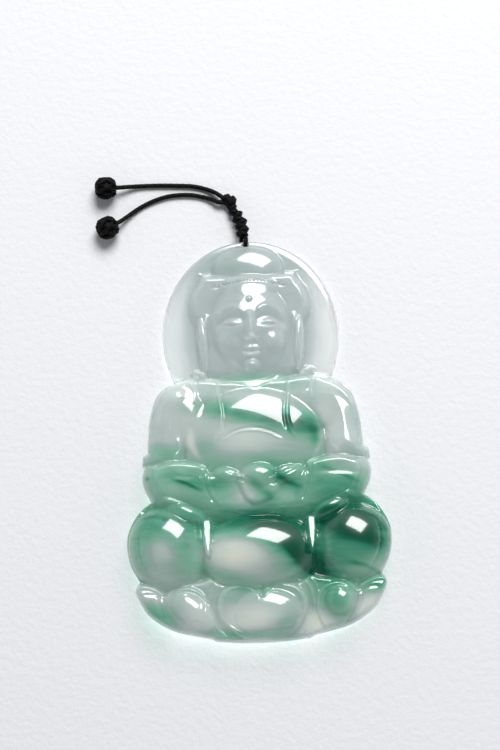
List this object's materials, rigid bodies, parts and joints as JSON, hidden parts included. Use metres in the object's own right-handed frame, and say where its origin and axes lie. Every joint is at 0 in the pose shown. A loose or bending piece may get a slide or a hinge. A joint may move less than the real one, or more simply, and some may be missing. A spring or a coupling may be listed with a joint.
{
  "type": "jade pendant",
  "caption": "Flat-backed carved jade pendant of a seated Buddha on a lotus before a round halo, with a black knotted cord through its top edge.",
  "frame": {"origin": "middle of the stone's bounding box in plan, on the surface that its flat back lies on", "axes": "+X to the viewer's right across the carving, +Y from the lotus towards the halo, +Z out of the carved front"},
  "size_m": [0.0461, 0.0782, 0.0086],
  "materials": {
    "jade": "polished translucent jadeite, icy grey-white at the halo and green-veined at the lotus",
    "cord": "tightly braided matt black nylon thread"
  },
  "bodies": {
    "pendant": {"jade_carving": "jade", "hanging_loop": "cord"},
    "neck_knot": {"snake_knot_1": "cord"},
    "sinnet": {"snake_knot_2": "cord", "snake_knot_3": "cord", "snake_knot_4": "cord", "collar_knot": "cord"},
    "tail_upper": {"tail_cord_upper": "cord", "end_knot_upper": "cord"},
    "tail_lower": {"tail_cord_lower": "cord", "end_knot_lower": "cord"}
  },
  "joints": [
    {"name": "cord_tilt", "type": "hinge", "parent": "pendant", "child": "neck_knot", "pos_m": [-0.0003, 0.03395, 0.00185], "axis": [1, 0, 0], "range_deg": [-45, 45]},
    {"name": "cord_swing", "type": "hinge", "parent": "neck_knot", "child": "sinnet", "pos_m": [-0.00068, 0.03545, 0.00168], "axis": [0, 0, 1], "range_deg": [-40, 15]},
    {"name": "tail_upper_bend", "type": "hinge", "parent": "sinnet", "child": "tail_upper", "pos_m": [-0.00415, 0.04155, 0.001], "axis": [0, 0, 1], "range_deg": [-40, 3]},
    {"name": "tail_lower_bend", "type": "hinge", "parent": "sinnet", "child": "tail_lower", "pos_m": [-0.00445, 0.0404, 0.001], "axis": [0, 0, 1], "range_deg": [-3, 20]}
  ]
}
